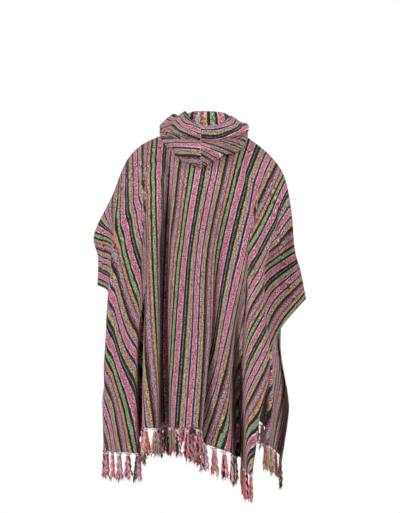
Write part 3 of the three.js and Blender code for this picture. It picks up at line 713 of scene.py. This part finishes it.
def tube(path, radii, sides, turn=0.0):
    """Rings of points round a path, and the quads between them with a cap at each end."""
    path = np.asarray(path, float)
    ahead = unit(np.gradient(path, axis=0))
    helper = np.where(np.abs(ahead[:, 2:3]) > 0.9, [[1.0, 0, 0]], [[0, 0, 1.0]])
    right = unit(np.cross(ahead, helper))
    above = np.cross(right, ahead)
    angles = turn + np.arange(sides) * 2 * math.pi / sides
    ring = (np.cos(angles)[None, :, None] * right[:, None]
            + np.sin(angles)[None, :, None] * above[:, None])
    verts = (path[:, None] + ring * np.asarray(radii, float)[:, None, None]).reshape(-1, 3)
    faces = []
    for i in range(len(path) - 1):
        for k in range(sides):
            n = (k + 1) % sides
            faces.append((i * sides + k, i * sides + n, (i + 1) * sides + n, (i + 1) * sides + k))
    faces.append(tuple(range(sides))[::-1])
    last = (len(path) - 1) * sides
    faces.append(tuple(last + k for k in range(sides)))
    return verts, faces


def joined_mesh(name, pieces, material):
    """One object from (verts, faces, place) pieces in mm, with each place as its UV."""
    verts, faces, places = [], [], []
    count = 0
    for points, polygons, place in pieces:
        verts.append(points)
        faces += [tuple(count + k for k in polygon) for polygon in polygons]
        places.append(np.broadcast_to(place, (len(points), 2)))
        count += len(points)
    mesh = bpy.data.meshes.new(name)
    mesh.from_pydata((np.concatenate(verts) * MM).tolist(), [], faces)
    corners = np.concatenate(places) * MM
    order = np.array([k for polygon in faces for k in polygon])
    mesh.uv_layers.new(name="cloth").data.foreach_set("uv", corners[order].ravel())
    mesh.materials.append(material)
    mesh.shade_smooth()
    return placed(name, mesh)


def even_places(row, cloth, pitch):
    """Points at an even pitch along a row: point, direction and place across the cloth."""
    lengths = lengths_along(row)
    count = int(lengths[-1] // pitch)
    targets = (np.arange(count) + 0.5) / count * lengths[-1]
    points = points_at(targets, lengths, row)
    ahead = points_at(targets + LOOK_AHEAD, lengths, row) - points
    ahead[:, 2] = 0
    return zip(points, unit(ahead), np.interp(targets, lengths, cloth))


def yarn(path, radii, sides, place, draw, turn=0.0):
    """A yarn along a path, with the colour and flecks of its place in the weave."""
    verts, faces = tube(path, radii, sides, turn)
    return verts, faces, (place, draw.uniform(*YARN_PLACES))


def knot_strands(point, along, cloth, sizes, draw):
    """Yarns that run from the cloth's edge into the knot."""
    pieces = []
    for share in np.linspace(-1, 1, STRANDS):
        start = point + along * share * sizes["pitch"] * STRAND_SPREAD + DOWN * STRAND_START
        end = point + along * share * sizes["knot_radius"] * STRAND_GATHER + DOWN * KNOT_DROP
        middle = mix(start, end, 0.5) + DOWN * STRAND_SAG
        place = cloth + share * STRAND_COLOURS
        pieces.append(yarn([start, middle, end], STRAND_RADII, 5, place, draw))
    return pieces


def knot_wrap(point, along, out, knot, draw):
    """The turns of one yarn that bind the knot."""
    t = np.linspace(0, WRAP_TURNS * 2 * math.pi, WRAP_STEPS)[:, None]
    round_knot = along * np.cos(t) + out * np.sin(t) * WRAP_FLAT
    wrap = (point + DOWN * (KNOT_DROP - WRAP_ABOVE + WRAP_RISE * t / (2 * math.pi))
            + round_knot * knot * (0.9 + 0.1 * np.sin(t)))
    return yarn(wrap, np.full(WRAP_STEPS, WRAP_YARN), 6, draw.choice(WRAP_PLACES), draw)


def twisted_tails(point, along, out, cloth, sizes, draw):
    """The yarns below the knot, twisted in pairs that open and fray at their ends."""
    pieces = []
    count = draw.choice(TAIL_COUNTS)
    sway = within(draw, TAIL_SWAY)
    t = np.linspace(0, 1, TAIL_STEPS)
    opening = smooth((t - (1 - LOOSE_END)) / LOOSE_END)
    apart = PLY_APART * (1 + OPEN_BY * opening)
    radii = PLY_RADIUS * (1 - THINNER_BY * opening) * np.linspace(1.0, 0.92, TAIL_STEPS)
    radii[-1] = 0.5
    for n in range(count):
        fan = (n + 0.5) / count * 2 - 1
        length = sizes["length"] * draw.uniform(*TAIL_LENGTHS) - KNOT_DROP
        reach_along = fan * draw.uniform(*TAIL_FAN) + sway
        reach_out, bend = within(draw, TAIL_OUT), within(draw, TAIL_BEND)
        fall = KNOT_DROP + TAIL_START + length * t
        aside = (fan * sizes["knot_radius"] * TAIL_GATHER * (1 - t) + reach_along * t ** 0.8
                 + bend * np.sin(2.4 * math.pi * t) * t)
        outward = reach_out * t ** 1.2 + 1.2 * np.cos(5 * t + n) * t
        core = point + np.outer(fall, DOWN) + np.outer(aside, along) + np.outer(outward, out)
        place = draw.choice((cloth + fan * TAIL_COLOURS, draw.choice(TAIL_PLACES)))
        for ply in (0, math.pi):
            spin = np.linspace(0, draw.uniform(*PLY_TWIST) * math.pi, TAIL_STEPS) + ply + n
            path = (core + np.outer(np.cos(spin) * apart, along)
                    + np.outer(np.sin(spin) * apart, out))
            pieces.append(yarn(path, radii, 5, place + within(draw, 1), draw, ply))
        for _ in range(FRAYS):
            tip = core[-1]
            end = (tip + DOWN * draw.uniform(*FRAY_LENGTHS) + along * within(draw, FRAY_ASIDE)
                   + out * within(draw, FRAY_OUT))
            fray = [tip, mix(tip, end, 0.6) + along * 0.4, end]
            pieces.append(yarn(fray, FRAY_RADII, 3, place, draw))
    return pieces


def knotted_tassel(point, along, cloth, sizes, draw):
    """Yarns gathered from the hem into a wrapped knot, and hanging free below it."""
    out = np.array([-along[1], along[0], 0.0])
    return [*knot_strands(point, along, cloth, sizes, draw),
            knot_wrap(point, along, out, sizes["knot_radius"], draw),
            *twisted_tails(point, along, out, cloth, sizes, draw)]


def stitches(row, outward, pitch, length, thread, draw):
    """Short stitches along a row of points, lying on the side that outward points to."""
    lengths = lengths_along(row)
    pieces = []
    for start in np.arange(pitch / 2, lengths[-1] - length, pitch):
        reach = np.array([start, start + length / 2, start + length])
        points, lift = (points_at(reach, lengths, table) for table in (row, outward))
        points += lift * STITCH_ARCH * thread
        points += within(draw, STITCH_SLANT) * np.cross(points[2] - points[0], lift[1]) / length
        verts, faces = tube(points, (0.5 * thread, thread, 0.5 * thread), 5)
        pieces.append((verts, faces, (0.0, 0.0)))
    return pieces


# ---------------------------------------------------------------- materials

def node(tree, kind, settings=None, **inputs):
    """Adds a node with its settings and its inputs' values or links. An underscore in an input's
    name stands for a space, and in_1 for an input by its number."""
    added = tree.nodes.new(kind)
    for key, value in (settings or {}).items():
        setattr(added, key, value)
    for key, value in inputs.items():
        which = int(key[3:]) if key.startswith("in_") else key.replace("_", " ")
        socket = added.inputs[which]
        if isinstance(value, bpy.types.NodeSocket):
            tree.links.new(value, socket)
        else:
            socket.default_value = value
    return added


def new_material(name, **values):
    """A material with the given values on its shader's sockets, its node tree and its shader."""
    material = bpy.data.materials.new(name)
    material.use_nodes = True
    shader = material.node_tree.nodes["Principled BSDF"]
    for key, value in values.items():
        shader.inputs[key.replace("_", " ")].default_value = value
    return material, material.node_tree, shader


def colour_and_relief(tree, shader, colour, height, strength, distance):
    """Links a colour and a relief of the given depth to a shader."""
    bump = node(tree, "ShaderNodeBump", Strength=strength, Distance=distance, Height=height)
    tree.links.new(colour, shader.inputs["Base Color"])
    tree.links.new(bump.outputs[0], shader.inputs["Normal"])


RIB_PITCH = 2.2                   # mm between the warp's ribs, coarser than real so that they show


def woven_stripes(tree, yarns, speck, speck_size, heather, shadow):
    """The colour of the striped weave at the cloth's own place, and the height of its threads."""
    place = node(tree, "ShaderNodeUVMap", {"uv_map": "cloth"}).outputs[0]
    split = node(tree, "ShaderNodeSeparateXYZ", Vector=place)
    across, along = split.outputs[0], split.outputs[1]

    def thread_noise(across_mm, along_mm, detail=2.0):
        scale = node(tree, "ShaderNodeVectorMath", {"operation": "MULTIPLY"}, in_0=place,
                     in_1=(1 / (across_mm * MM), 1 / (along_mm * MM), 1.0)).outputs[0]
        return node(tree, "ShaderNodeTexNoise", {"noise_dimensions": "2D"}, Vector=scale,
                    Scale=1.0, Detail=detail).outputs[0]

    # single warp threads wander a little, so that a stripe's edge isn't a ruled line
    wander = node(tree, "ShaderNodeMath", {"operation": "MULTIPLY_ADD"},
                  in_0=thread_noise(3.0, 22.0), in_1=2.0 * MM, in_2=-1.0 * MM).outputs[0]
    moved = node(tree, "ShaderNodeMath", {"operation": "ADD"}, in_0=across, in_1=wander).outputs[0]
    turns = node(tree, "ShaderNodeMath", {"operation": "DIVIDE"}, in_0=moved,
                 in_1=REPEAT * MM).outputs[0]
    phase = node(tree, "ShaderNodeMath", {"operation": "FRACT"}, in_0=turns).outputs[0]
    ramp = node(tree, "ShaderNodeValToRGB", Fac=phase)
    ramp.color_ramp.interpolation = "CONSTANT"
    stops = ramp.color_ramp.elements
    reached = 0.0
    for k, (yarn, width) in enumerate(STRIPES):
        stop = stops[0] if k == 0 else stops.new(reached / REPEAT)
        stop.position = reached / REPEAT
        stop.color = (*yarns[yarn], 1.0)
        reached += width
    while len(stops) > len(STRIPES):
        stops.remove(stops[-1])
    # uneven dye along each brushed thread
    shade = node(tree, "ShaderNodeMapRange", in_0=thread_noise(2.6, 26.0, 3.0), in_1=0.3,
                 in_2=0.7, in_3=1 - heather, in_4=1 + heather).outputs[0]
    dyed = node(tree, "ShaderNodeHueSaturation", in_0=0.5, in_1=0.98, in_2=shade, in_3=1.0,
                in_4=ramp.outputs[0]).outputs[0]
    # pale weft that shows between the warp threads, least between the darkest ones
    light = node(tree, "ShaderNodeRGBToBW", Color=ramp.outputs[0]).outputs[0]
    showing = node(tree, "ShaderNodeMapRange", in_0=light, in_1=0.01, in_2=0.16,
                   in_3=0.1 * speck, in_4=speck).outputs[0]
    specks = node(tree, "ShaderNodeMapRange", in_0=thread_noise(speck_size, 0.8 * speck_size, 1.0),
                  in_1=0.5, in_2=0.62, in_3=0.0, in_4=showing).outputs[0]
    flecked = node(tree, "ShaderNodeMix", {"data_type": "RGBA"}, in_0=specks, in_6=dyed,
                   in_7=(*linear("#E2CFCC"), 1.0)).outputs[2]
    # and painted shadow between threads: a near-black mixed in by a noise mask
    painted_thread_shadow = node(tree, "ShaderNodeMapRange", in_0=thread_noise(3.6, 3.0, 1.0), in_1=0.5,
                in_2=0.6, in_3=0.0, in_4=shadow).outputs[0]
    colour = node(tree, "ShaderNodeMix", {"data_type": "RGBA"}, in_0=painted_thread_shadow, in_6=flecked,
                  in_7=(*linear("#1C191B"), 1.0)).outputs[2]
    # threads: fine ribs along the warp, and a fuzzy nap
    rib_phase = node(tree, "ShaderNodeMath", {"operation": "MULTIPLY"}, in_0=moved,
                     in_1=2 * math.pi / (RIB_PITCH * MM)).outputs[0]
    rib = node(tree, "ShaderNodeMath", {"operation": "SINE"}, in_0=rib_phase).outputs[0]
    nap = node(tree, "ShaderNodeMath", {"operation": "MULTIPLY_ADD"},
               in_0=thread_noise(1.6, 2.6, 3.0), in_1=2.5, in_2=rib).outputs[0]
    return colour, nap


def brushed_cotton(name, yarns, speck=0.62, speck_size=3.6, heather=0.35, shadow=0.86,
                   relief=0.5):
    """Hand-loomed cotton, brushed after weaving: matt, with a raised nap that catches a soft pale
    sheen, and slubs and flecks in each stripe."""
    material, tree, shader = new_material(
        name, Roughness=0.92, IOR=1.5, Specular_IOR_Level=0.2, Sheen_Weight=0.04,
        Sheen_Roughness=0.6, Sheen_Tint=(*linear("#E8DFE2"), 1.0))
    colour, nap = woven_stripes(tree, yarns, speck, speck_size, heather, shadow)
    colour_and_relief(tree, shader, colour, nap, relief, 0.5 * MM)
    return material


def sewing_thread():
    """Undyed cotton sewing thread: matt, off-white, a little grey in places from handling."""
    material, tree, shader = new_material("sewing_thread", Roughness=0.8)
    handled = node(tree, "ShaderNodeTexNoise", Scale=1 / (9 * MM), Detail=2.0).outputs[0]
    tone = node(tree, "ShaderNodeMix", {"data_type": "RGBA"}, in_0=handled,
                in_6=(*linear("#BDB1A6"), 1.0), in_7=(*linear("#EFE6DA"), 1.0)).outputs[2]
    # the thread's twist, one turn in 1.5 mm
    twist = node(tree, "ShaderNodeTexNoise", Scale=1 / (1.5 * MM), Detail=1.0).outputs[0]
    colour_and_relief(tree, shader, tone, twist, 0.3, 0.2 * MM)
    return material


def materials():
    """The cloth's right side and reverse, the fringe's yarn and the sewing thread."""
    names = ("brushed_cotton_face", "brushed_cotton_reverse", "cotton_yarn", "sewing_thread")
    if all(name in bpy.data.materials for name in names):
        return {name: bpy.data.materials[name] for name in names}
    chosen = bpy.context.scene.poncho_yarns
    yarns = {name: tuple(getattr(chosen, name)) for name in YARNS}
    return {
        # the face: warp colours, with pale weft flecks
        "brushed_cotton_face": brushed_cotton("brushed_cotton_face", yarns),
        # the reverse shows more of the pale weft, as white dots
        "brushed_cotton_reverse": brushed_cotton("brushed_cotton_reverse", yarns, speck=0.85,
                                                 speck_size=4.2),
        # the tassels' loose yarn: the same colours in coarser flecks, and little shadow between
        "cotton_yarn": brushed_cotton("cotton_yarn", yarns, speck=0.6, speck_size=6.0,
                                      heather=0.2, shadow=0.1, relief=0.3),
        # undyed sewing thread, which shows as pale dashes
        "sewing_thread": sewing_thread(),
    }


# ---------------------------------------------------------------- what a user would change

def size(name, description, default, low, high):
    """A length that the user may change, given in mm."""
    return FloatProperty(name=name, description=description, default=default * MM, min=low * MM,
                         max=high * MM, unit="LENGTH", precision=4)


class PonchoSizes(PropertyGroup):
    thickness: size("Cloth thickness", "Thickness of the brushed cloth", CLOTH_THICKNESS, 1, 4)
    pitch: size("Tassel spacing", "Distance between two tassels along the hem", 30, 15, 60)
    length: size("Tassel length", "From the hem to the ends of the yarns", 84, 30, 90)
    knot_radius: size("Knot radius", "Half the width of a tassel's wrapped knot", 4.6, 2, 6)


PonchoYarns = type("PonchoYarns", (PropertyGroup,), {
    "__doc__": "The dyed colours of the yarns in the stripes",
    "__annotations__": {
        name: FloatVectorProperty(name=f"{name.capitalize()} yarn",
                                  description=f"Colour of the {name} stripes", subtype="COLOR",
                                  size=3, min=0, max=1, default=linear(code))
        for name, code in YARNS.items()},
})


def sizes_mm():
    chosen = bpy.context.scene.poncho_sizes
    return {key: getattr(chosen, key) / MM for key in PonchoSizes.__annotations__}


# ---------------------------------------------------------------- operators

# How each panel is drawn: its folds and creases, its grid, and the seed of its unevenness.
PANELS = {
    "back": {"folds": BACK_FOLDS, "facing": 1, "turn": BACK_TURN, "columns": 300, "rows": 140,
             "creases": CREASES["back"], "seed": 11},
    "front": {"folds": FRONT_FOLDS, "facing": -1, "turn": FRONT_TURN, "columns": 250,
              "rows": 120, "creases": CREASES["front"], "seed": 23},
}
HEMS = {}                         # each panel's last row of points, with its places on the cloth
# Rows of stitches on the hood's halves, 1 the left and -1 the right, by their places in its grid.
STITCH_ROWS = [
    # half, from slice, up to slice, from step, up to step, facing, pitch, thread radius in mm
    (1, 8, HOOD_SLICES, -12, -11, 1, 11.0, 0.6),      # along the edge of the face opening
    (-1, 8, HOOD_SLICES, -12, -11, 1, 11.0, 0.6),
    (-1, -4, -3, 22, 44, -1, 6.5, 1.3),               # up the inside at the nape
    (-1, -1, HOOD_SLICES, 64, HOOD_STEPS, 1, 8.5, 1.1),   # along the seam between the halves
]
STITCH_SHARE = 0.6                # of its pitch that a stitch is long
OUT_FROM_BACK = (0.0, 1.0, 0.3)   # the way that the lying hood faces
STITCH_SEED = 59
FRINGE_SEEDS = {"back": 31, "front": 47}


def sheet_of_cloth(name, replaced, shape):
    """Makes one sheet from its points, normals and places, and says what it stands for."""
    looks = materials()
    points, normals, place = shape
    piece = wall_mesh(name, points, normals, sizes_mm()["thickness"], place,
                      [looks["brushed_cotton_face"], looks["brushed_cotton_reverse"]])
    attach(piece, "root")
    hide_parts(replaced)


def hang_panel(side):
    """Makes a panel, and keeps its last row for the fringe."""
    shape = panel_shape(**PANELS[side])
    points, _, place = shape
    HEMS[side] = (points[-1], place[-1, :, 0])
    sheet_of_cloth(f"{side}_cloth", f"{side}_panel", shape)


class PONCHO_OT_back_panel(Operator):
    """Drapes the back panel from the shoulder line to the back hem"""
    bl_idname = "poncho.back_panel"
    bl_label = "Back panel"

    def execute(self, context):
        hang_panel("back")
        return {"FINISHED"}


class PONCHO_OT_front_panel(Operator):
    """Drapes the front panel from the shoulder line to the front hem"""
    bl_idname = "poncho.front_panel"
    bl_label = "Front panel"

    def execute(self, context):
        hang_panel("front")
        return {"FINISHED"}


class PONCHO_OT_hood(Operator):
    """Lays the two halves of the hood down on the back"""
    bl_idname = "poncho.hood"
    bl_label = "Hood"

    def execute(self, context):
        for side, half in ((1, "hood_left"), (-1, "hood_right")):
            sheet_of_cloth(f"{half}_cloth", half, hood_shape(side))
        return {"FINISHED"}


class PONCHO_OT_stitching(Operator):
    """Sews the seam of the hood, the edge of its face opening and the nape in pale thread"""
    bl_idname = "poncho.stitching"
    bl_label = "Stitching"

    def execute(self, context):
        draw = random.Random(STITCH_SEED)
        half_wall = sizes_mm()["thickness"] / 2
        halves = {side: hood_shape(side)[:2] for side in (1, -1)}
        pieces = []
        for side, first, last, inner, outer, facing, pitch, thread in STITCH_ROWS:
            points, normals = halves[side]
            outside = np.sign((normals @ OUT_FROM_BACK).sum(axis=1))[:, None, None]
            outward = (normals * outside * facing)[first:last, inner:outer].reshape(-1, 3)
            row = points[first:last, inner:outer].reshape(-1, 3) + outward * half_wall
            pieces += stitches(row, outward, pitch, STITCH_SHARE * pitch, thread, draw)
        piece = joined_mesh("hood_stitching", pieces, materials()["sewing_thread"])
        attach(piece, "root")
        return {"FINISHED"}


class PONCHO_OT_fringes(Operator):
    """Knots the tassels along both hems"""
    bl_idname = "poncho.fringes"
    bl_label = "Hem fringes"

    def execute(self, context):
        sizes = sizes_mm()
        for hem, (row, cloth) in HEMS.items():
            draw = random.Random(FRINGE_SEEDS[hem])
            pieces = []
            for point, along, place in even_places(row, cloth, sizes["pitch"]):
                pieces += knotted_tassel(point, along, place, sizes, draw)
            piece = joined_mesh(f"{hem}_tassels", pieces, materials()["cotton_yarn"])
            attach(piece, "root")
            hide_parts(f"{hem}_fringe")
        return {"FINISHED"}


# The stage, in metres and degrees. The lights stand round the middle of the picture.
FLOOR_RADIUS, FLOOR_HEIGHT, FLOOR_CORNERS = 1.7, -1.57, 72
PAPER_TONES = (0.86, 0.9)
WORLD_LIGHT, WORLD_SHOWN = 0.22, 1.0
VIEW_AZIMUTH = 195
MIDDLE_HEIGHT, MIDDLE_RIGHT = -0.3855, -0.018
CAMERA_DISTANCE, CAMERA_LENS, CAMERA_SENSOR = 3.63, 85, 36
SOFTBOXES = [
    # name, to the camera's right, towards the camera, up, watts, width
    ("left_softbox", -2.2, 1.7, 1.5, 90, 1.2),
    ("right_softbox", 2.2, 1.7, 1.2, 72, 1.2),
    ("front_softbox", 0.6, -2.6, 1.3, 84, 1.6),
]


def paper_floor():
    """A round floor of matt white paper, whose fibres give it a faint, fine mottle."""
    mesh = bpy.data.meshes.new("studio_floor")
    ring = [(FLOOR_RADIUS * math.cos(a), FLOOR_RADIUS * math.sin(a), FLOOR_HEIGHT)
            for a in np.linspace(0, 2 * math.pi, FLOOR_CORNERS, endpoint=False)]
    mesh.from_pydata(ring, [], [tuple(range(FLOOR_CORNERS))])
    paper, tree, shader = new_material("matt_white_paper", Roughness=0.95)
    fibres = node(tree, "ShaderNodeTexNoise", Scale=1 / (25 * MM), Detail=4.0)
    tone = node(tree, "ShaderNodeMapRange", in_0=fibres.outputs[0], in_3=PAPER_TONES[0],
                in_4=PAPER_TONES[1])
    tree.links.new(tone.outputs[0], shader.inputs["Base Color"])
    mesh.materials.append(paper)
    return placed("studio_floor", mesh)


def white_world():
    """A white backdrop that lights the cloth less than it shows, so that folds keep their shade."""
    world = bpy.data.worlds.new("white_studio")
    world.use_nodes = True
    seen = node(world.node_tree, "ShaderNodeLightPath").outputs["Is Camera Ray"]
    strength = node(world.node_tree, "ShaderNodeMapRange", in_0=seen, in_3=WORLD_LIGHT,
                    in_4=WORLD_SHOWN)
    sky = world.node_tree.nodes["Background"]
    sky.inputs[0].default_value = (1, 1, 1, 1)
    world.node_tree.links.new(strength.outputs[0], sky.inputs[1])
    return world


def aim(obj, location, direction):
    """Stands a camera or a light at a place and points it in a direction."""
    obj.location = location
    obj.rotation_mode = "QUATERNION"
    obj.rotation_quaternion = direction.to_track_quat("-Z", "Y")


class PONCHO_OT_stage(Operator):
    """Sets the floor, the light and the camera"""
    bl_idname = "poncho.stage"
    bl_label = "Stage"

    def execute(self, context):
        scene = context.scene
        paper_floor()
        scene.world = white_world()
        scene.view_settings.view_transform = "Standard"

        azimuth = math.radians(VIEW_AZIMUTH)
        right = Vector((math.cos(azimuth), math.sin(azimuth), 0))
        nearer = Vector((math.sin(azimuth), -math.cos(azimuth), 0))
        middle = Vector((0, 0, MIDDLE_HEIGHT)) + right * MIDDLE_RIGHT
        lens = bpy.data.cameras.new("studio_camera")
        lens.lens, lens.sensor_width = CAMERA_LENS, CAMERA_SENSOR
        scene.camera = placed("studio_camera", lens)
        aim(scene.camera, middle + nearer * CAMERA_DISTANCE, -nearer)
        for name, aside, toward, height, power, width in SOFTBOXES:
            light = bpy.data.lights.new(name, "AREA")
            light.energy, light.size = power, width
            place = middle + right * aside + nearer * toward + Vector((0, 0, height))
            aim(placed(name, light), place, middle - place)
        return {"FINISHED"}


class PONCHO_PT_sidebar(Panel):
    """The poncho's pieces, sizes and yarn colours"""
    bl_idname = "PONCHO_PT_sidebar"
    bl_label = "Hooded poncho"
    bl_space_type = "VIEW_3D"
    bl_region_type = "UI"
    bl_category = "Poncho"

    def draw(self, context):
        for group in (context.scene.poncho_sizes, context.scene.poncho_yarns):
            box = self.layout.box()
            for key in group.__annotations__:
                box.prop(group, key)
        for operator in OPERATORS:
            self.layout.operator(operator.bl_idname)


OPERATORS = (PONCHO_OT_back_panel, PONCHO_OT_front_panel, PONCHO_OT_hood, PONCHO_OT_stitching,
             PONCHO_OT_fringes, PONCHO_OT_stage)
CLASSES = (PonchoSizes, PonchoYarns, *OPERATORS, PONCHO_PT_sidebar)


def register():
    for cls in CLASSES:
        bpy.utils.register_class(cls)
    bpy.types.Scene.poncho_sizes = PointerProperty(type=PonchoSizes)
    bpy.types.Scene.poncho_yarns = PointerProperty(type=PonchoYarns)


def unregister():
    del bpy.types.Scene.poncho_yarns
    del bpy.types.Scene.poncho_sizes
    for cls in reversed(CLASSES):
        bpy.utils.unregister_class(cls)


def main():
    register()
    bpy.ops.poncho.back_panel()
    bpy.ops.poncho.front_panel()
    bpy.ops.poncho.hood()
    bpy.ops.poncho.stitching()
    bpy.ops.poncho.fringes()
    bpy.ops.poncho.stage()


if __name__ == "__main__":
    main()
